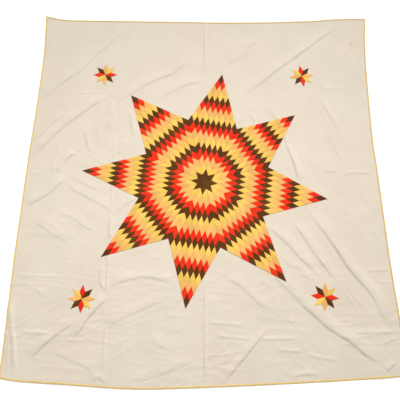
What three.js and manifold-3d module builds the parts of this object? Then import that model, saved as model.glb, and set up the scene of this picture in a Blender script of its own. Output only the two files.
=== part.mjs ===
// Lone star quilt, spread out on a flat surface.
// Millimetres, +Z up. The origin lies on that surface under the middle of the quilt,
// +Y points to the far edge and +X to the right, seen from the near edge.

import * as THREE from 'three';
import Module from 'manifold-3d';

const wasm = await Module();
wasm.setup();

// Thickness of each cloth, and the gap kept between two cloths
const QUILT_THICK = 2.5;
const STAR_THICK = 1;
const BINDING_THICK = 1;
const GAP = 0.3;

// The binding folds over the rim, in front and behind
const BINDING_WIDTH = 7.5;

// Outline of the quilt, one side after the other, clockwise from the far left corner
const FAR_LEFT = [-992, 1070];
const FAR_RIGHT = [1009, 1055];
const NEAR_RIGHT = [1005, -1022];
const NEAR_LEFT = [-999, -1044];
const SIDES = {
  far: [FAR_LEFT, [-879, 1044], [-721, 1037], [-232, 1031], [169, 1025], [601, 1035], [815, 1051], FAR_RIGHT],
  right: [FAR_RIGHT, [981, 760], [967, 274], [972, 11], [982, -489], [995, -757], NEAR_RIGHT],
  near: [NEAR_RIGHT, [881, -1035], [471, -1060], [-10, -1083], [-339, -1091], [-695, -1072], NEAR_LEFT],
  left: [NEAR_LEFT, [-995, -839], [-998, -498], [-991, 93], [-981, 437], [-977, 789], FAR_LEFT],
};
const SIDE_STEPS = 20;

// The big star: each of its eight points is a diamond from the centre to a tip.
// Bearings are in degrees clockwise from +Y, radii from the star's centre.
// A row gives one tip and the inner corner that follows it.
const STAR_CENTRE = [4, -29];
const STAR_POINTS = [
  { tipBearing: 8.8, tipRadius: 690, cornerBearing: 30, cornerRadius: 373 },
  { tipBearing: 51.9, tipRadius: 668, cornerBearing: 76, cornerRadius: 369 },
  { tipBearing: 98.1, tipRadius: 681, cornerBearing: 121.7, cornerRadius: 373 },
  { tipBearing: 142.1, tipRadius: 692, cornerBearing: 166.8, cornerRadius: 378 },
  { tipBearing: 187.9, tipRadius: 690, cornerBearing: 211, cornerRadius: 373 },
  { tipBearing: 232.3, tipRadius: 688, cornerBearing: 255.3, cornerRadius: 373 },
  { tipBearing: 275.4, tipRadius: 687, cornerBearing: 296.8, cornerRadius: 369 },
  { tipBearing: 321.2, tipRadius: 692, cornerBearing: 346, cornerRadius: 391 },
];

// A small star of eight diamonds in each corner of the field
const SMALL_TIPS = 8;
const SMALL_TIP_RADIUS = 72;
const SMALL_CORNER_RADIUS = SMALL_TIP_RADIUS / (2 * Math.cos(Math.PI / SMALL_TIPS));
const SMALL_STARS = [
  { name: 'corner_star_far_left', x: -592, y: 648, bearing: 0 },
  { name: 'corner_star_far_right', x: 586, y: 643, bearing: -7 },
  { name: 'corner_star_near_right', x: 623, y: -650, bearing: 6 },
  { name: 'corner_star_near_left', x: -623, y: -665, bearing: 1 },
];

// Folds that stand up from the surface. A fold leans: its line runs down its steep flank
// and its crest lies to the left of the line as it is drawn. Reach is the fold's scale
// across, and the heights are those of its crest.
const FOLDS = [
  { line: [[-923, 501], [-858, 573], [-743, 674], [-635, 804], [-548, 905], [-519, 956]],
    height: 5, reach: 28 },
  { line: [[-480, 422], [-476, 480], [-404, 537], [-288, 609], [-166, 667], [-79, 775]],
    height: 4.5, reach: 26 },
  { line: [[-972, 77], [-933, 147], [-842, 259], [-751, 350], [-646, 444], [-548, 500]],
    height: 6.5, reach: 30 },
  { line: [[-968, 196], [-898, 294], [-807, 392]], height: 4.5, reach: 23 },
  { line: [[-267, 472], [-187, 530], [-72, 591], [0, 584]], height: 3.5, reach: 25 },
  { line: [[152, 710], [253, 797], [289, 847], [354, 891]], height: 3, reach: 26 },
  { line: [[209, 472], [310, 566], [462, 696], [599, 804], [750, 927], [851, 999]], height: 5, reach: 29 },
  { line: [[-968, -182], [-877, -119], [-814, -63], [-754, 4]], height: 5, reach: 26 },
  { line: [[-768, -56], [-674, -105], [-562, -168], [-492, -217]], height: 2.5, reach: 25 },
  { line: [[-478, -245], [-450, -189], [-359, -119]], height: 3, reach: 21 },
  { line: [[-807, 21], [-786, 77], [-758, 119], [-716, 140]], height: 5, reach: 19 },
  { line: [[-919, -252], [-821, -329], [-709, -378]], height: 2.5, reach: 33 },
  { line: [[-665, -868], [-623, -835], [-587, -770], [-509, -679], [-490, -640]], height: 6.5, reach: 25 },
  { line: [[-864, -962], [-795, -894], [-750, -858], [-698, -816], [-646, -783]], height: 5.5, reach: 26 },
  { line: [[433, -618], [519, -705], [613, -798], [722, -863], [801, -932], [887, -977]],
    height: 5.5, reach: 32 },
  { line: [[551, -175], [663, -343], [765, -517], [859, -640], [916, -762], [938, -813]],
    height: 5.5, reach: 30 },
  { line: [[341, -280], [439, -371], [548, -495], [584, -524]], height: 4.5, reach: 26 },
  { line: [[474, -217], [509, -308], [599, -445], [664, -546], [685, -582]], height: 4, reach: 25 },
  { line: [[105, -553], [173, -589], [253, -658], [289, -690], [346, -715]], height: 2.5, reach: 25 },
  { line: [[-499, -604], [-399, -572], [-301, -556], [-197, -575], [-145, -591]], height: 3, reach: 23 },
  { line: [[97, -1065], [202, -950], [310, -827], [339, -802]], height: 5, reach: 18 },
  { line: [[-360, -1056], [-275, -1050], [-204, -1024], [-145, -1004], [-19, -959]], height: 2, reach: 23 },
  { line: [[-916, -1030], [-925, -933], [-945, -835], [-961, -770], [-990, -660]], height: 5.5, reach: 18 },
  { line: [[687, 518], [701, 455], [726, 392], [775, 266]], height: 3, reach: 16 },
  { line: [[460, 217], [481, 154], [502, 84], [526, -35]], height: 6, reach: 19 },
  { line: [[-513, 280], [-523, 329], [-516, 364], [-523, 420], [-509, 483]], height: 3, reach: 18 },
  { line: [[-760, -925], [-672, -955], [-594, -992], [-516, -1020]], height: 1.5, reach: 19 },
  { line: [[-490, -809], [-405, -764], [-308, -718], [-230, -682], [-191, -699]], height: 2.5, reach: 25 },
];

// The crest's distance from the line and how far each flank goes down from it, in reaches
const FOLD_LEAN = 0.3;
const STEEP_FLANK = 0.5;
const LONG_FLANK = 2.1;

// The sheet of cells from which each cloth is cut
const SHEET = { left: -1024, near: -1120, width: 2048, depth: 2240 };
const SHEET_CELLS = 256;
const FOLD_TOLERANCE = 1.5;
const FOLD_STEPS = 5;
const END_TAPER = 0.22;
const CROSSING_POWER = 3;

const smooth = (t) => t * t * (3 - 2 * t);

const folds = FOLDS.map(({ line, height, reach }) => {
  const curve = new THREE.SplineCurve(line.map((point) => new THREE.Vector2(...point)));
  return { points: curve.getSpacedPoints(FOLD_STEPS * (line.length - 1)), height, reach };
});

// Distance from a fold's line to a point, negative to its right, and how far along the
// line that is, from 0 to 1
function nearestOn(points, x, y) {
  let distance = Infinity;
  let along = 0;
  for (let i = 0; i + 1 < points.length; i++) {
    const dx = points[i + 1].x - points[i].x;
    const dy = points[i + 1].y - points[i].y;
    const share = ((x - points[i].x) * dx + (y - points[i].y) * dy) / (dx * dx + dy * dy);
    const t = Math.min(1, Math.max(0, share));
    const ox = x - points[i].x - t * dx;
    const oy = y - points[i].y - t * dy;
    const d = Math.hypot(ox, oy);
    if (d < Math.abs(distance)) {
      distance = dx * oy - dy * ox < 0 ? -d : d;
      along = (i + t) / (points.length - 1);
    }
  }
  return { distance, along };
}

// Height of the cloth's underside above the surface it lies on
function foldHeight(x, y) {
  let sum = 0;
  for (const { points, height, reach } of folds) {
    const { distance, along } = nearestOn(points, x, y);
    const beyond = distance - FOLD_LEAN * reach;
    const share = (beyond > 0 ? beyond / LONG_FLANK : -beyond / STEEP_FLANK) / reach;
    if (share < 1) {
      const profile = (1 - share ** 2) ** 2;
      const taper = smooth(Math.min(1, along / END_TAPER, (1 - along) / END_TAPER));
      sum += (height * profile * taper) ** CROSSING_POWER;
    }
  }
  return sum ** (1 / CROSSING_POWER);
}

// The sheet as right triangles, each halved across its long side for as long as a fold
// needs it, so that flat cloth has few and large ones. A corner is its row and column.
function foldedTriangles() {
  const row = SHEET_CELLS + 1;
  const heights = new Float64Array(row * row);
  const point = (i, j) => [
    SHEET.left + (i / SHEET_CELLS) * SHEET.width,
    SHEET.near + (j / SHEET_CELLS) * SHEET.depth,
  ];
  for (let j = 0; j < row; j++) {
    for (let i = 0; i < row; i++) {
      heights[j * row + i] = foldHeight(...point(i, j));
    }
  }
  const middleOf = ([a, b]) => [(a[0] + b[0]) / 2, (a[1] + b[1]) / 2];
  const halves = (triangle) => {
    const [a, b, c] = triangle;
    const m = middleOf(triangle);
    return [[c, a, m], [b, c, m]];
  };
  const index = ([i, j]) => j * row + i;
  const last = SHEET_CELLS;
  const levels = [[
    [[0, 0], [last, last], [last, 0]],
    [[last, last], [0, 0], [0, last]],
  ]];
  const depth = 2 * Math.log2(SHEET_CELLS);
  while (levels.length < depth) {
    levels.push(levels.at(-1).flatMap(halves));
  }
  const errors = new Float64Array(row * row);
  for (const [level, triangles] of [...levels.entries()].reverse()) {
    for (const triangle of triangles) {
      const [a, b] = triangle;
      const m = index(middleOf(triangle));
      const own = Math.abs(heights[m] - (heights[index(a)] + heights[index(b)]) / 2);
      const below = level + 1 < depth ? halves(triangle).map((half) => errors[index(middleOf(half))]) : [];
      errors[m] = Math.max(errors[m], own, ...below);
    }
  }
  const kept = [];
  const keep = (triangle, level) => {
    if (level < depth && errors[index(middleOf(triangle))] > FOLD_TOLERANCE) {
      halves(triangle).forEach((half) => keep(half, level + 1));
    } else {
      kept.push(triangle);
    }
  };
  levels[0].forEach((triangle) => keep(triangle, 0));
  return { kept, index, position: (corner) => [...point(...corner), heights[index(corner)]] };
}

const sheet = foldedTriangles();

function solid(vertProperties, triVerts) {
  return new wasm.Manifold(new wasm.Mesh({
    numProp: 3,
    vertProperties: new Float32Array(vertProperties),
    triVerts: new Uint32Array(triVerts),
  }));
}

// The whole sheet between two distances above the folded surface
function layer(bottom, top) {
  const slots = new Map();
  const points = [];
  const faces = [];
  const slotOf = (corner) => {
    const key = sheet.index(corner);
    if (!slots.has(key)) {
      slots.set(key, points.length / 6);
      const [x, y, z] = sheet.position(corner);
      points.push(x, y, z + bottom, x, y, z + top);
    }
    return slots.get(key);
  };
  const edges = new Map();
  for (const triangle of sheet.kept) {
    const [a, b, c] = triangle.map(slotOf);
    // counter-clockwise seen from above on the top face, the other way round below
    const [p, q, r] = [a, c, b];
    faces.push([2 * p + 1, 2 * q + 1, 2 * r + 1], [2 * p, 2 * r, 2 * q]);
    for (const [from, to] of [[p, q], [q, r], [r, p]]) {
      edges.set(`${from},${to}`, [from, to]);
    }
  }
  for (const [from, to] of edges.values()) {
    if (!edges.has(`${to},${from}`)) {
      faces.push([2 * from, 2 * to, 2 * to + 1], [2 * from, 2 * to + 1, 2 * from + 1]);
    }
  }
  return solid(points, faces.flat());
}

// An upright prism over an outline, tall enough to cut every layer
const PRISM_BOTTOM = -20;
const PRISM_TOP = 60;
function prism(outline) {
  const flat = outline.map(([x, y]) => new THREE.Vector2(x, y));
  if (THREE.ShapeUtils.isClockWise(flat)) {
    flat.reverse();
  }
  const points = flat.flatMap(({ x, y }) => [x, y, PRISM_BOTTOM, x, y, PRISM_TOP]);
  const faces = [];
  for (const [a, b, c] of THREE.ShapeUtils.triangulateShape(flat, [])) {
    faces.push([2 * a + 1, 2 * b + 1, 2 * c + 1], [2 * a, 2 * c, 2 * b]);
  }
  flat.forEach((_, from) => {
    const to = (from + 1) % flat.length;
    faces.push([2 * from, 2 * to, 2 * to + 1], [2 * from, 2 * to + 1, 2 * from + 1]);
  });
  return solid(points, faces.flat());
}

// A clockwise outline moved outwards by a distance, corner by corner
function grown(outline, distance) {
  return outline.map(([x, y], i) => {
    const [px, py] = outline.at(i - 1);
    const [nx, ny] = outline[(i + 1) % outline.length];
    const before = new THREE.Vector2(x - px, y - py).normalize();
    const after = new THREE.Vector2(nx - x, ny - y).normalize();
    const out = new THREE.Vector2(-before.y - after.y, before.x + after.x);
    const mitre = distance / (out.lengthSq() / 2);
    return [x + out.x * mitre, y + out.y * mitre];
  });
}

// A point at a bearing, clockwise from +Y, and a radius from a centre
function polar([x, y], bearing, radius) {
  const angle = THREE.MathUtils.degToRad(bearing);
  return [x + radius * Math.sin(angle), y + radius * Math.cos(angle)];
}

const group = new THREE.Group();
group.name = 'lone_star_quilt';

function addPiece(name, manifold, material) {
  const { vertProperties, triVerts } = manifold.getMesh();
  const geometry = new THREE.BufferGeometry();
  geometry.setAttribute('position', new THREE.BufferAttribute(vertProperties, 3));
  geometry.setIndex(new THREE.BufferAttribute(triVerts, 1));
  geometry.computeVertexNormals();
  const mesh = new THREE.Mesh(geometry, material);
  mesh.name = name;
  group.add(mesh);
}

const cream = new THREE.MeshStandardMaterial({ color: 0xeadeca, roughness: 0.92, metalness: 0 });
const gold = new THREE.MeshStandardMaterial({ color: 0xe8c070, roughness: 0.88, metalness: 0 });
const red = new THREE.MeshStandardMaterial({ color: 0xe6401f, roughness: 0.88, metalness: 0 });
const peach = new THREE.MeshStandardMaterial({ color: 0xf7b574, roughness: 0.88, metalness: 0 });

const sideCurves = Object.entries(SIDES).map(([name, corners]) => {
  const curve = new THREE.SplineCurve(corners.map((corner) => new THREE.Vector2(...corner)));
  const points = curve.getPoints(SIDE_STEPS).map(({ x, y }) => [x, y]);
  return { name, points };
});
const outline = sideCurves.flatMap(({ points }) => points.slice(0, -1));

// The field fills the binding: its rim is thinner by the binding's fold behind it
function buildField() {
  const rim = prism(grown(outline, GAP)).subtract(prism(grown(outline, -BINDING_WIDTH - GAP)));
  const underRim = layer(-BINDING_THICK, BINDING_THICK + GAP).intersect(rim);
  return layer(0, QUILT_THICK).intersect(prism(outline)).subtract(underRim);
}

// One side of the binding, mitred at both corners, folded over the field's rim
function buildBindings() {
  const outer = grown(outline, GAP + BINDING_THICK);
  const inner = grown(outline, -BINDING_WIDTH);
  const over = QUILT_THICK + GAP;
  const fold = layer(BINDING_THICK, over).intersect(prism(grown(outline, GAP)));
  sideCurves.forEach(({ name }, side) => {
    const first = side * SIDE_STEPS;
    const corners = [];
    for (let step = 0; step <= SIDE_STEPS; step++) {
      corners.push((first + step) % outline.length);
    }
    const strip = [
      ...corners.map((corner) => outer[corner]),
      ...corners.reverse().map((corner) => inner[corner]),
    ];
    const cloth = layer(0, over + BINDING_THICK).intersect(prism(grown(strip, -GAP / 2)));
    addPiece(`binding_${name}`, cloth.subtract(fold), gold);
  });
}

// The eight points of the big star lie on the field, seam to seam
function buildStar() {
  const cloth = layer(QUILT_THICK + GAP, QUILT_THICK + GAP + STAR_THICK);
  STAR_POINTS.forEach(({ tipBearing, tipRadius, cornerBearing, cornerRadius }, i) => {
    const previous = STAR_POINTS.at(i - 1);
    const diamond = [
      STAR_CENTRE,
      polar(STAR_CENTRE, previous.cornerBearing, previous.cornerRadius),
      polar(STAR_CENTRE, tipBearing, tipRadius),
      polar(STAR_CENTRE, cornerBearing, cornerRadius),
    ];
    addPiece(`star_point_${i + 1}`, cloth.intersect(prism(grown(diamond, -GAP / 2))), red);
  });
}

function buildSmallStars() {
  const cloth = layer(QUILT_THICK + GAP, QUILT_THICK + GAP + STAR_THICK);
  for (const { name, x, y, bearing } of SMALL_STARS) {
    const star = [];
    for (let tip = 0; tip < SMALL_TIPS; tip++) {
      star.push(polar([x, y], bearing + (tip * 360) / SMALL_TIPS, SMALL_TIP_RADIUS));
      star.push(polar([x, y], bearing + ((tip + 0.5) * 360) / SMALL_TIPS, SMALL_CORNER_RADIUS));
    }
    addPiece(name, cloth.intersect(prism(star)), peach);
  }
}

addPiece('field', buildField(), cream);
buildBindings();
buildStar();
buildSmallStars();

export default group;
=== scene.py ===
import math
from collections import namedtuple

import bpy
import numpy as np
from mathutils import Matrix, Vector


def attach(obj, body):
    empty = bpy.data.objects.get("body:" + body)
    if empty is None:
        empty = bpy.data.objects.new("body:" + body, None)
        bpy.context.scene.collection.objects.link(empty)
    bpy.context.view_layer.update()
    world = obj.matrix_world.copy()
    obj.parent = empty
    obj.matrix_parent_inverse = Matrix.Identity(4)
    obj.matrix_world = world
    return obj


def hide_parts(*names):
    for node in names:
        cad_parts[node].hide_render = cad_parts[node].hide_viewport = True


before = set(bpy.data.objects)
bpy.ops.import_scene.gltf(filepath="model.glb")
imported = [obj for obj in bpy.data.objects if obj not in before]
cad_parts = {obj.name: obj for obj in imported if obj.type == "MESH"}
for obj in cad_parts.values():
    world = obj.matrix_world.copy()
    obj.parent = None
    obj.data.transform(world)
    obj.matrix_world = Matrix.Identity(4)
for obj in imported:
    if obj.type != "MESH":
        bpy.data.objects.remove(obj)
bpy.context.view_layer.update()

# A lone star quilt, spread out on a flat surface. Sizes are in millimetres and become
# metres when a mesh is made. +Y points to the far edge, +Z up.

MM = 0.001

# The quilt's thickness, the gap between cloths, and the binding
QUILT_THICK = 2.5
GAP = 0.3
BINDING_THICK = 1.0
BINDING_WIDTH = 7.5

# The camera's place, the point it looks at on the surface, its roll and lens
CAMERA_PLACE = (-10.8, -817.4, 2267.9)
CAMERA_AIM = (-19.6, -132.7, 0.0)
CAMERA_ROLL = math.radians(-0.47)
CAMERA_LENS = 38.88
CAMERA_SENSOR = 36

# Studio light: the room's, a low sun through a wide window and a lamp overhead. Places
# and sizes in metres.
ROOM_LIGHT = 0.357
WINDOW_LIGHT = 2.4
WINDOW_PLACE = (2.2, 6.7, 5.0)
WINDOW_ANGLE = math.radians(24)
OVERHEAD_POWER = 20.1
OVERHEAD_PLACE = (-0.03, 0.08, 2.0)
OVERHEAD_SIZE = (2.2, 0.7)

# The floor: how far it goes on in metres, how far it lies below the quilt, and its look
FLOOR_REACH = 40.0
FLOOR_DROP = 0.3
FLOOR_SHADE = 0.96
FLOOR_GLOW = 0.3
FLOOR_ROUGHNESS = 0.9

# Cloths' colours on screen, how far their shade strays in patches of what size, and
# whether they are sewn from patches, worn along an edge or stained. Fading and rubbing set
# in over a range of a noise texture's values.
Cloth = namedtuple("Cloth", "name colour worn mottle mottle_size pieced edged stained",
                   defaults=(False, False, False))
FADE = 0.3
FADE_RANGE = (0.4, 0.7)
FADE_SCALE = 0.3
# Colour along the seams between patches is darkened to this share, painted shade in the seams; the
# binding is darkened the same way along its rubbed outer fold
EDGE_SHADE = 0.84
EDGE_RUB = 0.5
RUB_RANGE = (0.45, 0.6)
NOISE_DETAIL = 3

# A faint stain: its middle, how far its full colour and its last trace reach
STAIN_PLACE = (900, 868, 4)
STAIN_CORE = 6
STAIN_REACH = 18
STAIN_STRENGTH = 0.6
STAIN_COLOUR = (205, 180, 138)

# The weave's threads, how far a yarn's shade strays, and the crinkles
THREAD_PITCH = 0.45
THREAD_DEPTH = 0.1
THREAD_STRENGTH = 0.35
THREAD_WAVER = 0.6
YARN_STRAY = 0.03
YARN_STRETCH = (35, 900)
CRINKLE_SIZE = 7.0
CRINKLE_DEPTH = 0.4
CRINKLE_STRENGTH = 0.5

# Cotton's gloss, and its lint, which makes the roughness uneven
ROUGHNESS = (0.82, 0.96)
LINT_SCALE = 420
SPECULAR = 0.25
SHEEN = 0.04
SHEEN_ROUGHNESS = 0.5

# Most values of a noise texture lie between these
NOISE_LOW = 0.3
NOISE_HIGH = 0.7

# Light that a level cloth gets, where 1 shows pure white as white
LIGHT_LEVEL = 1.15
SCREEN_GAMMA = 2.2

# Outline, one side after the other, clockwise from the far left corner
FAR_LEFT = (-992, 1070)
FAR_RIGHT = (1009, 1055)
NEAR_RIGHT = (1005, -1022)
NEAR_LEFT = (-999, -1044)
FAR_SIDE = [FAR_LEFT, (-879, 1044), (-721, 1037), (-232, 1031), (169, 1025), (601, 1035),
            (815, 1051), FAR_RIGHT]
RIGHT_SIDE = [FAR_RIGHT, (981, 760), (967, 274), (972, 11), (982, -489), (995, -757), NEAR_RIGHT]
NEAR_SIDE = [NEAR_RIGHT, (881, -1035), (471, -1060), (-10, -1083), (-339, -1091), (-695, -1072),
             (-916, -1058), NEAR_LEFT]
LEFT_SIDE = [NEAR_LEFT, (-995, -839), (-998, -498), (-991, 93), (-981, 437), (-977, 789), FAR_LEFT]

SIDES = {"far": FAR_SIDE, "right": RIGHT_SIDE, "near": NEAR_SIDE, "left": LEFT_SIDE}

# The big star. Bearings in degrees clockwise from +Y, radii from the star's centre;
# each row is one tip and the inner corner after it.
StarPoint = namedtuple("StarPoint", "tip_bearing tip_radius corner_bearing corner_radius")
STAR_CENTRE = (4, -29)
STAR_POINTS = [
    StarPoint(8.8, 690, 30.0, 373),
    StarPoint(51.9, 668, 76.0, 369),
    StarPoint(98.1, 681, 121.7, 373),
    StarPoint(142.1, 692, 166.8, 378),
    StarPoint(187.9, 690, 211.0, 373),
    StarPoint(232.3, 688, 255.3, 373),
    StarPoint(275.4, 687, 296.8, 369),
    StarPoint(321.2, 692, 346.0, 391),
]
PATCHES = 9

SmallStar = namedtuple("SmallStar", "node x y bearing first_colour")
SMALL_TIPS = 8
SMALL_RADIUS = 72
SMALL_STARS = [
    SmallStar("corner_star_far_left", -592, 648, 0, "peach"),
    SmallStar("corner_star_far_right", 586, 643, -7, "red"),
    SmallStar("corner_star_near_right", 623, -650, 6, "peach"),
    SmallStar("corner_star_near_left", -623, -665, 1, "red"),
]

# Folds that stand up from the surface: the line down the steep flank, the crest's height
# and how far the fold reaches. The crest lies to the left of the line as it is drawn.
Fold = namedtuple("Fold", "line height reach")
MAIN_FOLDS = [
    Fold([(-923, 501), (-858, 573), (-743, 674), (-635, 804), (-548, 905), (-519, 956)], 5, 28),
    Fold([(-480, 422), (-476, 480), (-404, 537), (-288, 609), (-166, 667), (-79, 775)], 4.5, 26),
    Fold([(-972, 77), (-933, 147), (-842, 259), (-751, 350), (-646, 444), (-548, 500)], 6.5, 30),
    Fold([(-968, 196), (-898, 294), (-807, 392)], 4.5, 23),
    Fold([(-267, 472), (-187, 530), (-72, 591), (0, 584)], 3.5, 25),
    Fold([(152, 710), (253, 797), (289, 847), (354, 891)], 3, 26),
    Fold([(209, 472), (310, 566), (462, 696), (599, 804), (750, 927), (851, 999)], 5, 29),
    Fold([(-968, -182), (-877, -119), (-814, -63), (-754, 4)], 5, 26),
    Fold([(-768, -56), (-674, -105), (-562, -168), (-492, -217)], 2.5, 25),
    Fold([(-478, -245), (-450, -189), (-359, -119)], 3, 21),
    Fold([(-807, 21), (-786, 77), (-758, 119), (-716, 140)], 5, 19),
    Fold([(-919, -252), (-821, -329), (-709, -378)], 2.5, 33),
    Fold([(-665, -868), (-623, -835), (-587, -770), (-509, -679), (-490, -640)], 6.5, 25),
    Fold([(-864, -962), (-795, -894), (-750, -858), (-698, -816), (-646, -783)], 5.5, 26),
    Fold([(433, -618), (519, -705), (613, -798), (722, -863), (801, -932), (887, -977)], 5.5, 32),
    Fold([(551, -175), (663, -343), (765, -517), (859, -640), (916, -762), (938, -813)], 5.5, 30),
    Fold([(341, -280), (439, -371), (548, -495), (584, -524)], 4.5, 26),
    Fold([(474, -217), (509, -308), (599, -445), (664, -546), (685, -582)], 4, 25),
    Fold([(105, -553), (173, -589), (253, -658), (289, -690), (346, -715)], 2.5, 25),
    Fold([(-499, -604), (-399, -572), (-301, -556), (-197, -575), (-145, -591)], 3, 23),
    Fold([(97, -1065), (202, -950), (310, -827), (339, -802)], 5, 18),
    Fold([(-360, -1056), (-275, -1050), (-204, -1024), (-145, -1004), (-19, -959)], 2, 23),
    Fold([(-916, -1030), (-925, -933), (-945, -835), (-961, -770), (-990, -660)], 5.5, 18),
    Fold([(687, 518), (701, 455), (726, 392), (775, 266)], 3, 16),
    Fold([(460, 217), (481, 154), (502, 84), (526, -35)], 6, 19),
    Fold([(-513, 280), (-523, 329), (-516, 364), (-523, 420), (-509, 483)], 3, 18),
    Fold([(-760, -925), (-672, -955), (-594, -992), (-516, -1020)], 1.5, 19),
    Fold([(-490, -809), (-405, -764), (-308, -718), (-230, -682), (-191, -699)], 2.5, 25),
]
SMALL_FOLDS = [
    Fold([(310, 595), (433, 710), (592, 840), (707, 927), (765, 956)], 1, 18),
    Fold([(-691, 301), (-681, 245), (-667, 189), (-649, 133)], 3, 16),
    Fold([(-611, 294), (-611, 175)], 1.5, 14),
    Fold([(-429, 420), (-429, 350), (-415, 287), (-401, 231)], 4, 16),
    Fold([(-450, 238), (-478, 189), (-502, 140)], 3, 16),
    Fold([(-821, 189), (-842, 126), (-852, 70), (-859, 14)], 2.5, 18),
    Fold([(-744, 0), (-702, -28), (-646, -56), (-590, -80), (-555, -91)], 1.5, 18),
    Fold([(-800, -231), (-744, -228), (-702, -245), (-639, -287), (-576, -308)], 2, 22),
    Fold([(-506, -217), (-509, -280), (-509, -357)], 4.5, 16),
    Fold([(-532, -484), (-539, -536), (-529, -595), (-500, -625)], 3, 11),
    Fold([(-968, -350), (-884, -336), (-800, -343)], 1, 22),
    Fold([(404, -438), (447, -488), (498, -510), (519, -546), (563, -575)], 1.6, 18),
    Fold([(281, -575), (310, -582), (332, -604)], 1.5, 16),
    Fold([(354, -741), (404, -755), (462, -784)], 1.3, 16),
    Fold([(-275, -868), (-217, -894), (-152, -923)], 1.2, 18),
    Fold([(-880, -614), (-802, -669)], 1.2, 16),
    Fold([(-955, -985), (-964, -900), (-977, -835), (-993, -790)], 2.4, 13),
    Fold([(447, -1047), (462, -1029), (498, -1022), (534, -1022), (563, -1037)], 2.5, 13),
    Fold([(895, -1008), (931, -979), (952, -964)], 3, 13),
    Fold([(-535, -1063), (-509, -1043), (-470, -1069)], 2, 14),
    Fold([(684, 357), (705, 266), (733, 182), (796, 63)], 1.5, 23),
    Fold([(705, 371), (740, 280), (775, 189), (803, 140)], 1, 14),
    Fold([(663, 42), (698, 28), (754, 38)], 2, 16),
    Fold([(768, 7), (824, 21), (880, 21), (950, 21)], 2, 14),
    Fold([(354, 465), (398, 393), (432, 316), (462, 234), (479, 160), (500, 90), (537, -78)], 3.2, 14),
    Fold([(259, 456), (230, 393), (204, 330)], 3, 16),
    Fold([(259, 393), (291, 338)], 2, 14),
    Fold([(510, 300), (527, 262), (560, 215)], 1.2, 16),
    Fold([(-447, 682), (-411, 718), (-361, 775)], 2, 20),
    Fold([(-945, 780), (-909, 855)], 1, 18),
    Fold([(-159, 790), (-79, 797)], 1, 18),
    Fold([(-191, -754), (-106, -754)], 1, 16),
    Fold([(-197, -835), (-158, -822), (-106, -835)], 1, 14),
    Fold([(-295, -458), (-210, -465)], 1.3, 16),
    Fold([(895, -878), (974, -853)], 2.2, 11),
    Fold([(771, -70), (771, -175)], 1, 18),
    Fold([(845, -308), (848, -378)], 1, 16),
    Fold([(740, -203), (796, -210)], 1, 16),
    Fold([(350, -535), (433, -618), (519, -705)], 3.5, 30),
    Fold([(-940, 482), (-858, 573), (-743, 674)], 3, 26),
    Fold([(-635, 804), (-548, 905), (-505, 975)], 3, 26),
    Fold([(-992, -640), (-972, -760), (-958, -880), (-938, -1030)], 2.8, 12),
    Fold([(-984, -770), (-976, -880), (-966, -1030)], 2.4, 9),
]

# Straight creases from the way the quilt was folded for storage
Crease = namedtuple("Crease", "start end height reach")
CREASES = [
    Crease((6, 1040), (9, 640), 3.5, 10),
    Crease((9, -540), (10, -1080), 4, 10),
    Crease((-508, 300), (-500, -420), 2.5, 10),
    Crease((-500, -420), (-500, -640), 3, 10),
    Crease((-490, -790), (-492, -1010), 2.2, 10),
    Crease((498, 560), (503, 120), 1, 10),
    Crease((503, -90), (500, -560), 1, 10),
    Crease((-985, -543), (-735, -556), 1.8, 12),
    Crease((844, -517), (974, -506), 2, 10),
    Crease((902, -571), (981, -571), 1.6, 10),
    Crease((-919, -829), (-750, -832), 2.4, 14),
    Crease((-919, -881), (-795, -881), 1.2, 10),
    Crease((-691, -868), (-581, -868), 1.8, 10),
    Crease((22, -777), (216, -791), 2, 14),
    Crease((58, -842), (238, -856), 2, 12),
    Crease((238, -856), (491, -852), 2, 12),
    Crease((361, -907), (498, -914), 2.6, 14),
    Crease((505, -928), (671, -957), 1.8, 14),
    Crease((722, -827), (967, -813), 2.4, 13),
    Crease((-794, 526), (-541, 530), 1, 14),
    Crease((693, 562), (866, 566), 1.4, 14),
    Crease((-968, 21), (-905, 24), 1.3, 12),
]
CURVE_STEPS = 24
FOLD_STEPS = 5
END_TAPER = 0.22
CROSSING_POWER = 3

# A fold leans towards its steep flank, down which its line runs. Its crest lies a share
# of its reach further, and its other flank is a long one.
FOLD_LEAN = 0.3
STEEP_FLANK = 0.5
LONG_FLANK = 2.1

# Gentle unevenness of cloth that isn't stretched: height and length of each wave, how far
# and over how many lengths its crests bend, how it is turned from the one before, and the
# phases of bend and wave. All of it settles into the surface by a little.
SLACK_WAVES = [(1.1, 330), (0.55, 220), (0.28, 150), (0.2, 96)]
SLACK_DIRECTIONS = 3
SLACK_BEND = 0.35
SLACK_BEND_LENGTH = 1.7
FIRST_TURN = 0.7
GOLDEN_TURN = 2.399963
BEND_PHASE = 3
WAVE_PHASE = 5
SETTLE = 1.3

# Faint wrinkles between the folds: where each kind lies and how far it spreads, which way
# it runs (degrees clockwise from +Y), how long it is, how far apart, and how high
Wrinkles = namedtuple("Wrinkles", "x y spread_x spread_y bearing length spacing height")
WRINKLES = [
    Wrinkles(0, -840, 1400, 430, 86, 300, 52, 1.6),
    Wrinkles(-350, -760, 760, 420, 98, 200, 36, 1.2),
    Wrinkles(-760, 130, 320, 620, 40, 330, 60, 1.5),
    Wrinkles(-700, -150, 380, 420, 118, 260, 50, 1.2),
    Wrinkles(-560, 200, 260, 500, 8, 260, 46, 1.2),
    Wrinkles(720, -260, 360, 560, 148, 380, 56, 1.7),
    Wrinkles(790, 200, 300, 760, 168, 300, 60, 1.5),
    Wrinkles(-100, 800, 1500, 360, 50, 620, 80, 1.8),
    Wrinkles(300, 780, 1100, 420, 58, 420, 56, 0.9),
    Wrinkles(400, -720, 620, 400, 128, 260, 44, 1.0),
    Wrinkles(-350, -800, 620, 360, 60, 260, 46, 1.6),
]
WRINKLE_WIDTH = 0.25
WRINKLE_PATCH = 230
WRINKLE_COVER = 0.35
WRINKLE_CONTRAST = 1.6
WRINKLE_SEED = 50
NOISE_CELLS = 64

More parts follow.
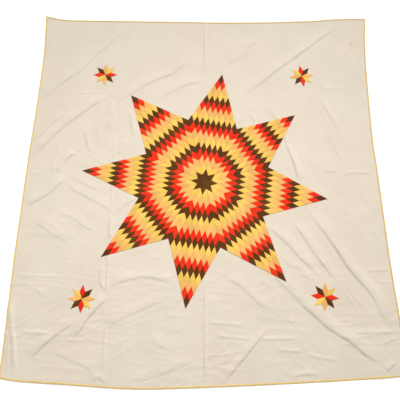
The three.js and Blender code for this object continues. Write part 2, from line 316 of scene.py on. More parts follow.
# How far the folds' lines wander and over what distance, and how uneven the heights are
WANDER = 7
WANDER_LENGTH = 130
WANDER_SEED = 90
UNEVEN = 0.5
UNEVEN_SCALE = 1.7

# Patchwork: each patch is crowned between its seams, and its net is cut at shares of it
PATCH_CLEARANCE = 0.1
SEAM_LEVEL = 3.5
SEAM_DEPTH = 0.45
PATCH_CROWN = 0.55
SEAM_SOFTNESS = 0.045
PIECING_ERROR = 1.1
PATCH_TONE = 0.075
# How far from a seam, as a share of a patch, the painted seam shade and the rubbing reach
SEAM_SHADE_AND_WEAR = 0.038
CUTS_IN_PATCH = (0.0, 0.04, 0.12, 0.28, 0.5, 0.72, 0.88, 0.96)

# Sewing thread: each stitch is a small grain of it that lies on the cloth
STITCH_LENGTH = 3.0
STITCH_PITCH = 5.0
STITCH_WIDTH = 0.6
STITCH_RISE = 0.35
STITCH_SPREAD = 0.15
STITCH_STRAY = 0.12
EDGE_STITCH_INSET = 1.8
EDGE_STITCH_LEVEL = 3.85
BINDING_STITCH_INSET = 6.0
BINDING_STITCH_LEVEL = 3.95

# A stitch's corners, as shares of its length, width and rise, and its faces
STITCH_CORNERS = np.array([(-0.5, 0, 0), (0.5, 0, 0), (0, -0.5, 0), (0, 0.5, 0), (0, 0, 1), (0, 0, -1)])
STITCH_FACES = np.array([(1, 3, 4), (3, 0, 4), (0, 2, 4), (2, 1, 4),
                         (3, 1, 5), (0, 3, 5), (2, 0, 5), (1, 2, 5)])

# The binding's section: distance in from the outline, height above the surface. Its
# outer fold is rubbed along a line.
RUBBED_LINE = -0.5
RUBBED_WIDTH = 1.2
BINDING_SECTION = [
    (7.5, 2.9), (7.6, 3.3), (7.2, 3.7), (5.6, 3.95), (3.0, 4.0), (1.0, 3.9), (-0.3, 3.4),
    (-0.9, 2.5), (-0.95, 1.5), (-0.5, 0.5), (0.4, 0.05), (2.0, 0.0), (6.7, 0.0), (7.5, 0.5),
    (7.0, 0.95), (2.5, 1.0), (0.3, 1.1), (0.0, 1.8), (0.2, 2.75), (3.0, 2.85),
]

# The binding's top is slightly puckered: share of its height, and turn at each step
PUCKERS = [(0.05, 2.1), (0.04, 0.77)]
PUCKERED_ABOVE = 3

# The field's surfaces follow the folds' true form this closely, and share the points of
# their rim after a few rounds
FIELD_CELLS = 512
FRONT_TOLERANCE = 0.16
BACK_TOLERANCE = 0.7
RIM_ROUNDS = 3
RIM_RAMP = 45.0
BINDING_STEP = 5.0

# Rows of colour from the star's centre outwards, and clockwise round a small star
ROW_COLOURS = ("brown", "yellow", "peach", "red")
ROUND_COLOURS = ("peach", "yellow", "red", "brown")


def smooth(t):
    return t * t * (3 - 2 * t)


def polar(centre, bearing, radius):
    angle = math.radians(bearing)
    return np.array([centre[0] + radius * math.sin(angle), centre[1] + radius * math.cos(angle)])


def spline(points, count):
    """A curve through the points, as the outline's sides run, in even steps."""
    p = np.array(points, float)
    p = np.vstack([p[:1], p, p[-1:]])
    fine = []
    for i in range(len(points) - 1):
        a, b, c, d = p[i:i + 4]
        for t in np.linspace(0, 1, CURVE_STEPS, endpoint=False):
            fine.append(0.5 * (2 * b + (c - a) * t + (2 * a - 5 * b + 4 * c - d) * t * t
                               + (3 * b - a - 3 * c + d) * t ** 3))
    fine = np.array(fine + [p[-1]])
    run = np.r_[0, np.cumsum(np.hypot(*np.diff(fine, axis=0).T))]
    wanted = np.asarray(count) * run[-1] if np.ndim(count) else np.linspace(0, run[-1], count + 1)
    return np.c_[np.interp(wanted, run, fine[:, 0]), np.interp(wanted, run, fine[:, 1])]


def line_distance(x, y, line):
    """Distance from a line of points, which is negative on the right of the line as it is
    drawn, and how far along it the nearest place is, from 0 to 1."""
    distance = np.full(x.shape, np.inf)
    along = np.zeros(x.shape)
    pieces = len(line) - 1
    for i in range(pieces):
        (ax, ay), (dx, dy) = line[i], line[i + 1] - line[i]
        t = np.clip(((x - ax) * dx + (y - ay) * dy) / (dx * dx + dy * dy), 0, 1)
        ox, oy = x - ax - t * dx, y - ay - t * dy
        d = np.hypot(ox, oy)
        closer = d < np.abs(distance)
        distance[closer] = (d * np.where(dx * oy - dy * ox < 0, -1, 1))[closer]
        along[closer] = ((i + t) / pieces)[closer]
    return distance, along


def flank_share(distance, reach, leans):
    """How far down a fold's flank a point lies: 0 at the crest and 1 at the foot."""
    if not leans:
        return np.abs(distance) / reach
    beyond = distance - FOLD_LEAN * reach
    return np.where(beyond > 0, beyond / LONG_FLANK, -beyond / STEEP_FLANK) / reach


def raise_fold(total, x, y, line, height, reach, leans):
    """Adds one fold, to the crossing power, to the heights of the points near it."""
    margin = reach * (FOLD_LEAN + LONG_FLANK)
    low, high = line.min(0) - margin, line.max(0) + margin
    near = (x > low[0]) & (x < high[0]) & (y > low[1]) & (y < high[1])
    distance, along = line_distance(x[near], y[near], line)
    profile = (1 - np.minimum(flank_share(distance, reach, leans), 1) ** 2) ** 2
    taper = smooth(np.minimum(1, np.minimum(along, 1 - along) / END_TAPER))
    total[near] += (height * profile * taper) ** CROSSING_POWER


def noise(x, y, seed):
    """Smooth random values from about -0.7 to 0.7 that change over a distance of 1."""
    turns = np.random.default_rng(seed).uniform(0, 2 * math.pi, (NOISE_CELLS, NOISE_CELLS))
    slopes = np.cos(turns), np.sin(turns)
    i, j = np.floor(x).astype(int), np.floor(y).astype(int)
    a, b = x - i, y - j
    total = np.zeros(np.shape(x))
    for p in (0, 1):
        for q in (0, 1):
            cell = (i + p) % NOISE_CELLS, (j + q) % NOISE_CELLS
            slope = slopes[0][cell] * (a - p) + slopes[1][cell] * (b - q)
            total += slope * smooth(1 - np.abs(a - p)) * smooth(1 - np.abs(b - q))
    return total


def slack(x, y):
    """Low waves all over the cloth, each bent and turned away from the one before."""
    total = np.zeros(np.shape(x))
    turn = FIRST_TURN
    for height, length in SLACK_WAVES:
        for _ in range(SLACK_DIRECTIONS):
            turn += GOLDEN_TURN
            along = x * math.cos(turn) + y * math.sin(turn)
            across = y * math.cos(turn) - x * math.sin(turn)
            bend = np.sin(across / (SLACK_BEND_LENGTH * length) + BEND_PHASE * turn)
            bent = along + SLACK_BEND * length * bend
            wave = 1 + np.sin(2 * math.pi * bent / length + WAVE_PHASE * turn)
            total += height * wave / SLACK_DIRECTIONS
    return total


def wrinkle_height(x, y):
    """Thin ridges that come and go along the zero lines of stretched noise."""
    total = np.zeros(np.shape(x))
    for seed, zone in enumerate(WRINKLES):
        turn = math.radians(zone.bearing)
        along = x * math.sin(turn) + y * math.cos(turn)
        across = x * math.cos(turn) - y * math.sin(turn)
        line = noise(along / zone.length, across / zone.spacing, seed)
        ridge = np.maximum(0, 1 - np.abs(line) / WRINKLE_WIDTH) ** 2
        patches = noise(x / WRINKLE_PATCH, y / WRINKLE_PATCH, WRINKLE_SEED + seed)
        patchy = np.clip(WRINKLE_COVER + WRINKLE_CONTRAST * patches, 0, 1)
        far = ((x - zone.x) / zone.spread_x) ** 2 + ((y - zone.y) / zone.spread_y) ** 2
        inside = np.clip(WRINKLE_CONTRAST * np.exp(-far), 0, 1)
        total += zone.height * ridge * patchy * inside
    return total


def fold_height(x, y):
    """Height of the cloth's underside above the surface it lies on."""
    x, y = np.asarray(x, float), np.asarray(y, float)
    u, v = x / WANDER_LENGTH, y / WANDER_LENGTH
    wandered_x = x + WANDER * noise(u, v, WANDER_SEED)
    wandered_y = y + WANDER * noise(u, v, WANDER_SEED + 1)
    total = np.zeros(x.shape)
    for fold in MAIN_FOLDS + SMALL_FOLDS:
        line = spline(fold.line, FOLD_STEPS * (len(fold.line) - 1))
        raise_fold(total, wandered_x, wandered_y, line, fold.height, fold.reach, leans=True)
    for crease in CREASES:
        raise_fold(total, x, y, np.array([crease.start, crease.end], float),
                   crease.height, crease.reach, leans=False)
    uneven = 1 + UNEVEN * noise(UNEVEN_SCALE * u, UNEVEN_SCALE * v, WANDER_SEED + 2)
    folds = total ** (1 / CROSSING_POWER) * uneven
    return np.maximum(0, folds + wrinkle_height(x, y) + slack(x, y) - SETTLE)


def mesh_piece(name, vertices, faces, materials, indices=None, node=None,
               normals=None, tones=None, seam_shade_and_wear=None):
    """A smooth-shaded piece from vertices in millimetres, riding on the quilt's one body.
    Tones lighten or darken whole faces; the painted shade along seams and the wear along edges go from 0
    to 1 at the vertices."""
    mesh = bpy.data.meshes.new(name)
    mesh.from_pydata((np.asarray(vertices) * MM).tolist(), [], faces)
    for material in materials:
        mesh.materials.append(material)
    if indices is not None:
        mesh.polygons.foreach_set("material_index", np.asarray(indices, np.int32))
    mesh.polygons.foreach_set("use_smooth", np.ones(len(mesh.polygons), bool))
    mesh.update()
    if normals is not None:
        mesh.normals_split_custom_set_from_vertices(normals.tolist())
    for label, domain, values in (("tone", "FACE", tones), ("seam_shade_and_wear", "POINT", seam_shade_and_wear)):
        if values is not None:
            mesh.attributes.new(label, "FLOAT", domain).data.foreach_set("value", np.float32(values))
    piece = bpy.data.objects.new(name, mesh)
    bpy.context.scene.collection.objects.link(piece)
    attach(piece, "root")
    if node:
        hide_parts(node)
    return piece


def closed_sheet(top, bottom):
    """Vertices and faces of a thin cloth between two grids of the same rim."""
    index = np.arange(top.shape[0] * top.shape[1]).reshape(top.shape[:2])
    under = index + index.size
    faces = []
    for grid in (index, under[:, ::-1]):
        cells = np.stack([grid[:-1, :-1], grid[1:, :-1], grid[1:, 1:], grid[:-1, 1:]], -1)
        faces += cells.reshape(-1, 4).tolist()
    faces += rim_faces(rim_of(index), rim_of(under))
    return np.vstack([top.reshape(-1, 3), bottom.reshape(-1, 3)]), faces


def sheet_faces(grid):
    """A value for each face of a closed sheet, from a grid of values for its cells."""
    rim = [grid[0, ::-1], grid[:, 0], grid[-1], grid[::-1, -1]]
    return np.concatenate([grid.ravel(), grid[:, ::-1].ravel(), *rim])


def rim_of(index):
    """Round a grid's rim, counterclockwise seen from above, back to its start."""
    return [*index[0, ::-1], *index[1:, 0], *index[-1, 1:], *index[-2::-1, -1]]


def rim_faces(over, below):
    """Faces between the rims of a sheet's two surfaces."""
    return [[*below[n - 1:n + 1], over[n], over[n - 1]] for n in range(1, len(over))]


def needed_points(height, tolerance, also):
    """Marks the points of a square grid that a net of ever halved right triangles
    needs to follow the heights within the tolerance, and those it is told to keep."""
    need = also.copy()
    cells = len(height) - 1
    step = 1
    while step < cells:
        double = 2 * step
        for h, n in ((height, need), (height.T, need.T)):
            ends = (h[:-1:double, ::double] + h[double::double, ::double]) / 2
            n[step::double, ::double] |= np.abs(h[step::double, ::double] - ends) > tolerance
            edges = n[step::double, ::double]
            n[step::double, step::double] |= edges[:, :-1] | edges[:, 1:]
        corner, keep = height[::double, ::double], need[::double, ::double]
        rising = np.indices((len(corner) - 1,) * 2).sum(0) % 2 == 0
        ends = np.where(rising, corner[:-1, :-1] + corner[1:, 1:], corner[1:, :-1] + corner[:-1, 1:]) / 2
        middle = need[step::double, step::double]
        middle |= np.abs(height[step::double, step::double] - ends) > tolerance
        keep[1:, :-1] |= middle & rising
        keep[:-1, 1:] |= middle & rising
        keep[:-1, :-1] |= middle & ~rising
        keep[1:, 1:] |= middle & ~rising
        step = double
    return need


def halved_triangles(need):
    """The net of triangles on a grid's marked points, each as three grid places."""
    cells = len(need) - 1
    low, high = (0, 0), (cells, cells)
    whole = np.array([[high, low, (cells, 0)], [low, high, (0, cells)]])
    done = []
    for _ in range(2 * round(math.log2(cells))):
        first, second, corner = whole[:, 0], whole[:, 1], whole[:, 2]
        middle = (first + second) // 2
        split = need[middle[:, 0], middle[:, 1]]
        done.append(whole[~split])
        halves = [np.stack([corner, first, middle], 1), np.stack([second, corner, middle], 1)]
        whole = np.concatenate([half[split] for half in halves])
    return np.concatenate(done + [whole])


def rim_mask(grid):
    mask = np.zeros(grid.shape, bool)
    mask[[0, -1]] = True
    mask[:, [0, -1]] = True
    return mask


def field_plan():
    """The field's outline filled with a square grid, in plan."""
    shares = np.linspace(0, 1, FIELD_CELLS + 1)
    far, near = spline(FAR_SIDE, shares), spline(NEAR_SIDE[::-1], shares)
    left, right = spline(LEFT_SIDE, shares), spline(RIGHT_SIDE[::-1], shares)
    u, v = shares[:, None, None], shares[None, :, None]
    return ((1 - v) * near[:, None] + v * far[:, None] + (1 - u) * left[None] + u * right[None]
            - (1 - u) * (1 - v) * near[0] - u * (1 - v) * near[-1]
            - (1 - u) * v * far[0] - u * v * far[-1])


def grid_normals(grid):
    """Unit normals of a grid of points, seen from above."""
    normals = np.cross(np.gradient(grid, axis=0), np.gradient(grid, axis=1))
    return normals / np.linalg.norm(normals, axis=-1, keepdims=True)


def field_levels():
    """The field in plan, and the heights of its front and back. The back is tucked up at
    the rim, where the binding goes under it."""
    plan = field_plan()
    height = fold_height(plan[..., 0], plan[..., 1])
    place = np.indices(height.shape)
    from_rim = np.minimum(place, FIELD_CELLS - place).min(0) * (FAR_RIGHT[0] - FAR_LEFT[0]) / FIELD_CELLS
    tuck = (BINDING_THICK + GAP) * np.clip((RIM_RAMP - from_rim) / (RIM_RAMP - BINDING_WIDTH), 0, 1)
    return plan, height + QUILT_THICK, height + tuck


def field_points(front_level, back_level):
    """The points that the net of each surface needs: the same ones along the rim."""
    rim = rim_mask(front_level)
    shared = np.zeros(front_level.shape, bool)
    shared[[0, 0, -1, -1], [0, -1, 0, -1]] = True
    for _ in range(RIM_ROUNDS):
        front = needed_points(front_level, FRONT_TOLERANCE, shared)
        back = needed_points(back_level, BACK_TOLERANCE, shared)
        shared = (front | back) & rim
    return front, back


def make_field(material):
    plan, *levels = field_levels()
    vertices, normals, faces, numbers = [], [], [], []
    for level, need, order in zip(levels, field_points(*levels), (1, -1)):
        corners = halved_triangles(need)[:, ::order]
        number = np.full(need.shape, -1)
        number[need] = sum(map(len, vertices)) + np.arange(need.sum())
        grid = np.dstack([plan, level])
        vertices.append(grid[need])
        normals.append(order * grid_normals(grid)[need])
        faces += number[corners[..., 0], corners[..., 1]].tolist()
        numbers.append(number)
    over, below = ([n for n in rim_of(number) if n >= 0] for number in numbers)
    return mesh_piece("quilt_field", np.vstack(vertices), faces + rim_faces(over, below), [material],
                      node="field", normals=np.vstack(normals))


def patch_lines(count):
    """Where the lines of a patchwork grid lie, in patches."""
    lines = [patch + cut for patch in range(count) for cut in CUTS_IN_PATCH]
    return np.array(lines + [count])


def blend(s, t, start, first, tip, last):
    """What lies at the shares s and t between four corners."""
    s, t = s[..., None], t[..., None]
    return (1 - s) * (1 - t) * start + s * (1 - t) * first + s * t * tip + (1 - s) * t * last


def piecing_errors(count, rng):
    """How far off its place each corner inside a patchwork is."""
    error = rng.normal(0, PIECING_ERROR / 2, (count + 1, count + 1, 2))
    error[[0, -1]] = 0
    error[:, [0, -1]] = 0
    return error


def puff(a, b, from_seam):
    """Height of a patch above its seams, at the shares a and b of it. The crown is 1 in
    the patch's middle."""
    crown = 16 * a * b * (1 - a) * (1 - b)
    return SEAM_DEPTH * (1 - np.exp(-from_seam / SEAM_SOFTNESS)) + PATCH_CROWN * crown


def patchwork(corners, count, seed):
    """A diamond of count by count patches between four corners. Gives its top and bottom
    grids, how near a seam each of their points is, the row and column of the patch that
    each cell belongs to, and a tone for each cell."""
    rng = np.random.default_rng(seed)
    lines = patch_lines(count)
    patch = np.minimum(lines.astype(int), count - 1)
    s, t = np.meshgrid(lines / count, lines / count, indexing="ij")
    a, b = np.meshgrid(lines - patch, lines - patch, indexing="ij")
    i, j = np.meshgrid(patch, patch, indexing="ij")
    plan = blend(s, t, *(np.asarray(corner, float) for corner in corners))
    if count > 1:
        error = piecing_errors(count, rng)
        plan = plan + blend(a, b, error[i, j], error[i + 1, j], error[i + 1, j + 1], error[i, j + 1])
    from_seam = np.minimum(np.minimum(a, 1 - a), np.minimum(b, 1 - b))
    height = fold_height(plan[..., 0], plan[..., 1])
    top = np.dstack([plan, height + SEAM_LEVEL + puff(a, b, from_seam)])
    bottom = np.dstack([plan, height + QUILT_THICK + PATCH_CLEARANCE])
    # Nearness to a seam, which sets the painted seam shade and the rubbing
    seam = np.exp(-from_seam / SEAM_SHADE_AND_WEAR).ravel()
    patch = patch[:-1]
    tone = rng.uniform(1 - PATCH_TONE, 1 + PATCH_TONE, (count, count))[np.ix_(patch, patch)]
    return top, bottom, np.r_[seam, seam], patch, tone


def star_outline():
    """The big star's tips and inner corners in turn, clockwise."""
    return [place for point in STAR_POINTS for place in (
        polar(STAR_CENTRE, point.tip_bearing, point.tip_radius),
        polar(STAR_CENTRE, point.corner_bearing, point.corner_radius))]


def small_outline(star):
    """A small star's tips and inner corners in turn, clockwise."""
    side = SMALL_RADIUS / (2 * math.cos(math.pi / SMALL_TIPS))
    step = 360 / SMALL_TIPS
    return [place for tip in range(SMALL_TIPS) for place in (
        polar((star.x, star.y), star.bearing + tip * step, SMALL_RADIUS),
        polar((star.x, star.y), star.bearing + (tip + 0.5) * step, side))]


def stitch_places(outline, inset):
    """Middle and direction of each stitch of a row just inside a clockwise outline."""
    closed = np.vstack([outline[-1:], outline, outline[:1]])
    corners = np.asarray(outline) - inset * outward(closed)
    middles, directions = [], []
    for start, end in zip(corners, np.roll(corners, -1, axis=0)):
        length = np.hypot(*(end - start))
        count = max(1, round(length / STITCH_PITCH))
        shares = (np.arange(count) + 0.5) / count
        middles.append(start + shares[:, None] * (end - start))
        directions.append(np.repeat([(end - start) / length], count, axis=0))
    return np.vstack(middles), np.vstack(directions)


def make_stitches(name, outlines, inset, level, thread):
    rows = [stitch_places(outline, inset) for outline in outlines]
    middles, along = (np.vstack(part) for part in zip(*rows))
    rng = np.random.default_rng(len(middles))
    across = np.c_[-along[:, 1], along[:, 0]]
    length = STITCH_LENGTH * rng.uniform(1 - STITCH_SPREAD, 1 + STITCH_SPREAD, len(middles))
    plan = (middles[:, None] + rng.normal(0, STITCH_STRAY, middles.shape)[:, None]
            + STITCH_CORNERS[None, :, :1] * (length[:, None] * along)[:, None]
            + STITCH_CORNERS[None, :, 1:2] * (STITCH_WIDTH * across)[:, None])
    height = fold_height(plan[..., 0], plan[..., 1]) + level + STITCH_RISE * STITCH_CORNERS[:, 2]
    starts = len(STITCH_CORNERS) * np.arange(len(middles))
    faces = (starts[:, None, None] + STITCH_FACES).reshape(-1, 3)
    return mesh_piece(name, np.dstack([plan, height]).reshape(-1, 3), faces.tolist(), [thread])


def make_star(cottons):
    names = list(cottons)
    outline = star_outline()
    stars = []
    for number in range(len(STAR_POINTS)):
        before, tip, after = outline[2 * number - 1], outline[2 * number], outline[2 * number + 1]
        corners = [STAR_CENTRE, after, tip, before]
        top, bottom, seam, patch, tone = patchwork(corners, PATCHES, seed=number + 1)
        vertices, faces = closed_sheet(top, bottom)
        row = patch[:, None] + patch[None, :]
        colour = np.array([names.index(c) for c in ROW_COLOURS])[row % len(ROW_COLOURS)]
        stars.append(mesh_piece(
            f"star_patchwork_{number + 1}", vertices, faces, list(cottons.values()),
            indices=sheet_faces(colour), node=f"star_point_{number + 1}",
            tones=sheet_faces(tone), seam_shade_and_wear=seam))
    return stars


def make_small_stars(cottons):
    names = list(cottons)
    stars = []
    for star in SMALL_STARS:
        outline = small_outline(star)
        first = ROUND_COLOURS.index(star.first_colour)
        vertices, faces, indices, tones, seam_shade_and_wear = [], [], [], [], []
        for tip in range(SMALL_TIPS):
            corners = [(star.x, star.y), outline[2 * tip + 1], outline[2 * tip], outline[2 * tip - 1]]
            top, bottom, seam, _, tone = patchwork(corners, 1, seed=int(abs(star.x)) + tip)
            v, f = closed_sheet(top, bottom)
            used = sum(len(part) for part in vertices)
            faces += [[corner + used for corner in face] for face in f]
            vertices.append(v)
            colour = names.index(ROUND_COLOURS[(first + tip) % len(ROUND_COLOURS)])
            indices += [colour] * len(f)
            tones.append(sheet_faces(tone))
            seam_shade_and_wear.append(seam)
        stars.append(mesh_piece(
            star.node + "_patchwork", np.vstack(vertices), faces,
            list(cottons.values()), indices=indices, node=star.node,
            tones=np.concatenate(tones), seam_shade_and_wear=np.concatenate(seam_shade_and_wear)))
    return stars


def outward(points):
    """Outward direction at each point of a clockwise run, lengthened at its bends."""
    step = np.diff(points, axis=0)
    step /= np.hypot(*step.T)[:, None]
    normal = np.c_[-step[:, 1], step[:, 0]]
    before, after = normal[:-1], normal[1:]
    both = before + after
    return both / (0.5 * (both ** 2).sum(1))[:, None]


def binding_run(side):
    """One side of the outline in steps of about the binding's step."""
    length = np.hypot(*np.diff(np.array(side, float), axis=0).T).sum()
    return spline(side, round(length / BINDING_STEP))


def binding_rings(run, before, after):
    """The binding's section at each point of one side, with the points next to its ends."""
    section = np.array(BINDING_SECTION)
    out = outward(np.vstack([before, run, after]))
    plan = run[:, None, :] - out[:, None, :] * section[None, :, :1]
    along = np.diff(run, axis=0)[[0, -1]]
    along /= np.hypot(*along.T)[:, None]
    plan[0] += along[0] * GAP / 2
    plan[-1] -= along[1] * GAP / 2
    steps = np.arange(len(run))
    pucker = 1 + sum(share * np.sin(turn * steps) for share, turn in PUCKERS)
    rise = section[None, :, 1] * np.where(section[None, :, 1] > PUCKERED_ABOVE, pucker[:, None], 1)
    return np.dstack([plan, fold_height(plan[..., 0], plan[..., 1]) + rise])


def tube_faces(rows, columns):
    """Faces of a tube of rings, closed at both ends."""
    index = np.arange(rows * columns).reshape(rows, columns)
    beside = np.roll(index, -1, axis=1)
    faces = np.stack([index[:-1], index[1:], beside[1:], beside[:-1]], -1).reshape(-1, 4)
    return faces.tolist() + [index[0].tolist(), index[-1, ::-1].tolist()]


def make_bindings(material):
    runs = {name: binding_run(side) for name, side in SIDES.items()}
    names = list(runs)
    inset = np.array(BINDING_SECTION)[:, 0]
    rubbed = np.exp(-((inset - RUBBED_LINE) / RUBBED_WIDTH) ** 2)
    bindings = []
    for n, name in enumerate(names):
        before, after = runs[names[n - 1]], runs[names[(n + 1) % len(names)]]
        rings = binding_rings(runs[name], before[-2], after[1])
        rows, columns = rings.shape[:2]
        bindings.append(mesh_piece(
            "binding_strip_" + name, rings.reshape(-1, 3), tube_faces(rows, columns), [material],
            node="binding_" + name, seam_shade_and_wear=np.tile(rubbed, rows)))
    return bindings


def linear(colour):
    """An on-screen colour, 0 to 255, as the shader's linear one in this scene's light."""
    return tuple((c / 255) ** SCREEN_GAMMA / LIGHT_LEVEL for c in colour) + (1.0,)


def add_node(tree, kind, inputs, **settings):
    """A shader node. Each input is a value or another node's output."""
    node = tree.nodes.new("ShaderNode" + kind)
    for key, value in settings.items():
        setattr(node, key, value)
    for key, value in inputs.items():
        if isinstance(value, bpy.types.NodeSocket):
            tree.links.new(value, node.inputs[key])
        else:
            node.inputs[key].default_value = value
    return node.outputs


def ranged(tree, value, low, high, to_low, to_high):
    inputs = {"Value": value, "From Min": low, "From Max": high, "To Min": to_low, "To Max": to_high}
    return add_node(tree, "MapRange", inputs)["Result"]


def product(tree, first, second):
    return add_node(tree, "Math", {0: first, 1: second}, operation="MULTIPLY")["Value"]


def mixed(tree, share, first, second):
    return add_node(tree, "MixRGB", {"Fac": share, "Color1": first, "Color2": second})["Color"]


def noise_texture(tree, place, scale, detail):
    return add_node(tree, "TexNoise", {"Vector": place, "Scale": scale, "Detail": detail})["Fac"]


def spread(tree, texture, low, high):
    """A noise texture's values, stretched to run from low to high."""
    return ranged(tree, texture, NOISE_LOW, NOISE_HIGH, low, high)


def streaks(tree, place):
    """Uneven yarns of the warp and the weft."""
    short, long = YARN_STRETCH
    yarns = [add_node(tree, "VectorMath", {0: place, 1: stretch}, operation="MULTIPLY")["Vector"]
             for stretch in ((short, long, short), (long, short, long))]
    along, across = (spread(tree, noise_texture(tree, yarn, 1, 2), 1 - YARN_STRAY, 1 + YARN_STRAY)
                     for yarn in yarns)
    return product(tree, along, across)


def stained(tree, place, ragged, tint):
    """The tint with the stain's colour near the stain, whose edge is ragged."""
    spot = Vector(STAIN_PLACE) * MM
    core = STAIN_CORE * MM
    away = add_node(tree, "VectorMath", {0: place, 1: spot}, operation="DISTANCE")["Value"]
    away = add_node(tree, "Math", {0: away, 1: spread(tree, ragged, -core, core)})["Value"]
    stain = ranged(tree, away, core, STAIN_REACH * MM, STAIN_STRENGTH, 0)
    return mixed(tree, stain, tint, linear(STAIN_COLOUR))


def cotton_colour(tree, place, cloth):
    """The cloth's colour, faded to its worn one in broad patches. Along the seams between patches it is
    darkened, painted shade, and rubbed towards the worn colour; along the binding's outer fold it is
    darkened and rubbed the same way.
    """
    scale = 1 / (cloth.mottle_size * MM)
    broad = noise_texture(tree, place, scale, NOISE_DETAIL)
    slow = noise_texture(tree, place, FADE_SCALE * scale, NOISE_DETAIL)
    shade = product(tree, streaks(tree, place), spread(tree, broad, 1 - cloth.mottle, 1 + cloth.mottle))
    faded = ranged(tree, slow, *FADE_RANGE, 0, FADE)
    tint = mixed(tree, faded, linear(cloth.colour), linear(cloth.worn))
    if cloth.pieced:
        tone = add_node(tree, "Attribute", {}, attribute_name="tone")["Fac"]
        shade = product(tree, shade, tone)
    # Darker along the seams between patches, painted shade in the seams, and along the binding's rubbed
    # outer fold; both are rubbed towards the worn colour
    if cloth.pieced or cloth.edged:
        seam_shade_and_wear = add_node(tree, "Attribute", {}, attribute_name="seam_shade_and_wear")["Fac"]
        shade = product(tree, shade, ranged(tree, seam_shade_and_wear, 0, 1, 1, EDGE_SHADE))
        rubbed = product(tree, seam_shade_and_wear, ranged(tree, broad, *RUB_RANGE, 0, EDGE_RUB))
        tint = mixed(tree, rubbed, tint, linear(cloth.worn))
    if cloth.stained:
        tint = stained(tree, place, broad, tint)
    return add_node(tree, "VectorMath", {0: tint, "Scale": shade}, operation="SCALE")["Vector"]


def cotton_bump(tree, place):
    """The weave's threads on top of a slight crinkle. At scale 1 the bands of a wave
    texture are pi / 10 apart."""
    crinkle = noise_texture(tree, place, 1 / (CRINKLE_SIZE * MM), NOISE_DETAIL)
    bands = {"Vector": place, "Scale": math.pi / 10 / (THREAD_PITCH * MM),
             "Distortion": THREAD_WAVER, "Detail": 1}
    waves = [add_node(tree, "TexWave", bands, bands_direction=direction)["Fac"] for direction in "XY"]
    uneven = add_node(tree, "Bump", {"Strength": CRINKLE_STRENGTH, "Distance": CRINKLE_DEPTH * MM,
                                     "Height": crinkle})["Normal"]
    return add_node(tree, "Bump", {"Strength": THREAD_STRENGTH, "Distance": THREAD_DEPTH * MM,
                                   "Height": product(tree, *waves), "Normal": uneven})["Normal"]


def cotton(cloth):
    """Plain-weave cotton."""
    material = bpy.data.materials.new(cloth.name + "_cotton")
    material.use_nodes = True
    tree = material.node_tree
    place = add_node(tree, "TexCoord", {})["Object"]
    lint = noise_texture(tree, place, LINT_SCALE, 2)
    shader = tree.nodes["Principled BSDF"]
    tree.links.new(cotton_colour(tree, place, cloth), shader.inputs["Base Color"])
    tree.links.new(spread(tree, lint, *ROUGHNESS), shader.inputs["Roughness"])
    tree.links.new(cotton_bump(tree, place), shader.inputs["Normal"])
    shader.inputs["Specular IOR Level"].default_value = SPECULAR
    shader.inputs["Sheen Weight"].default_value = SHEEN
    shader.inputs["Sheen Roughness"].default_value = SHEEN_ROUGHNESS
    return material


def make_stage():
    mesh = bpy.data.meshes.new("floor")
    corners = [(x * FLOOR_REACH, y * FLOOR_REACH, 0) for x, y in ((-1, -1), (1, -1), (1, 1), (-1, 1))]
    mesh.from_pydata(corners, [], [(0, 1, 2, 3)])
    floor = bpy.data.objects.new("floor", mesh)
    floor.location.z = -FLOOR_DROP * MM
    material = bpy.data.materials.new("pale_floor")
    material.use_nodes = True
    shader = material.node_tree.nodes["Principled BSDF"]
    shader.inputs["Base Color"].default_value = (FLOOR_SHADE, FLOOR_SHADE, FLOOR_SHADE, 1)
    shader.inputs["Emission Color"].default_value = (1, 1, 1, 1)
    shader.inputs["Emission Strength"].default_value = FLOOR_GLOW
    shader.inputs["Roughness"].default_value = FLOOR_ROUGHNESS
    mesh.materials.append(material)
    bpy.context.scene.collection.objects.link(floor)


def add_light(name, kind, energy, place):
    light = bpy.data.lights.new(name, kind)
    light.energy = energy
    lamp = bpy.data.objects.new(name, light)
    lamp.location = place
    lamp.rotation_mode = "QUATERNION"
    lamp.rotation_quaternion = (-lamp.location).to_track_quat("-Z", "Y")
    bpy.context.scene.collection.objects.link(lamp)
    return light


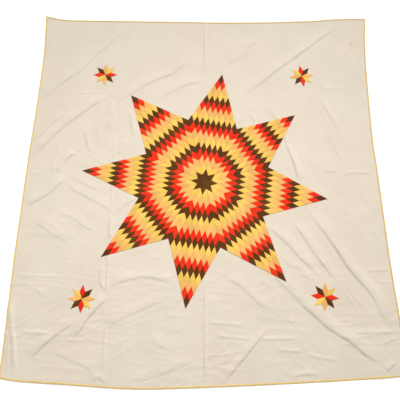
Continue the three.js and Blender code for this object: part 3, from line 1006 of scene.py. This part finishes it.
def make_lights():
    world = bpy.data.worlds.new("studio")
    world.use_nodes = True
    background = world.node_tree.nodes["Background"]
    background.inputs["Color"].default_value = (1, 1, 1, 1)
    background.inputs["Strength"].default_value = ROOM_LIGHT
    bpy.context.scene.world = world
    window = add_light("window", "SUN", WINDOW_LIGHT, WINDOW_PLACE)
    window.angle = WINDOW_ANGLE
    overhead = add_light("overhead", "AREA", OVERHEAD_POWER, OVERHEAD_PLACE)
    overhead.shape = "RECTANGLE"
    overhead.size, overhead.size_y = OVERHEAD_SIZE


def make_camera():
    data = bpy.data.cameras.new("camera")
    data.lens = CAMERA_LENS
    data.sensor_width = CAMERA_SENSOR
    camera = bpy.data.objects.new("camera", data)
    place = Vector(CAMERA_PLACE) * MM
    aim = (Vector(CAMERA_AIM) * MM - place).to_track_quat("-Z", "Y").to_matrix()
    turned = aim @ Matrix.Rotation(CAMERA_ROLL, 3, "Z")
    camera.matrix_world = Matrix.Translation(place) @ turned.to_4x4()
    bpy.context.scene.collection.objects.link(camera)
    bpy.context.scene.camera = camera


make_stage()
make_lights()
make_camera()
bpy.context.scene.view_settings.view_transform = "Standard"

cream = cotton(Cloth("cream", (234, 221, 202), (232, 216, 191), 0.025, 160, stained=True))
gold = cotton(Cloth("gold", (238, 202, 120), (236, 214, 160), 0.06, 40, edged=True))
cottons = {cloth.name: cotton(cloth) for cloth in (
    Cloth("brown", (93, 52, 6), (112, 74, 34), 0.12, 40, pieced=True),
    Cloth("yellow", (250, 204, 92), (249, 212, 122), 0.05, 40, pieced=True),
    Cloth("peach", (249, 184, 104), (250, 196, 130), 0.05, 40, pieced=True),
    Cloth("red", (247, 46, 14), (236, 84, 52), 0.07, 40, pieced=True),
)}
field = make_field(cream)
stars = make_star(cottons)
small_stars = make_small_stars(cottons)
bindings = make_bindings(gold)
rim = np.vstack([binding_run(side)[:-1] for side in SIDES.values()])
stitches = [
    make_stitches("applique_stitches", [star_outline(), *map(small_outline, SMALL_STARS)],
                  EDGE_STITCH_INSET, EDGE_STITCH_LEVEL, cream),
    make_stitches("binding_stitches", [rim], BINDING_STITCH_INSET, BINDING_STITCH_LEVEL, gold),
]
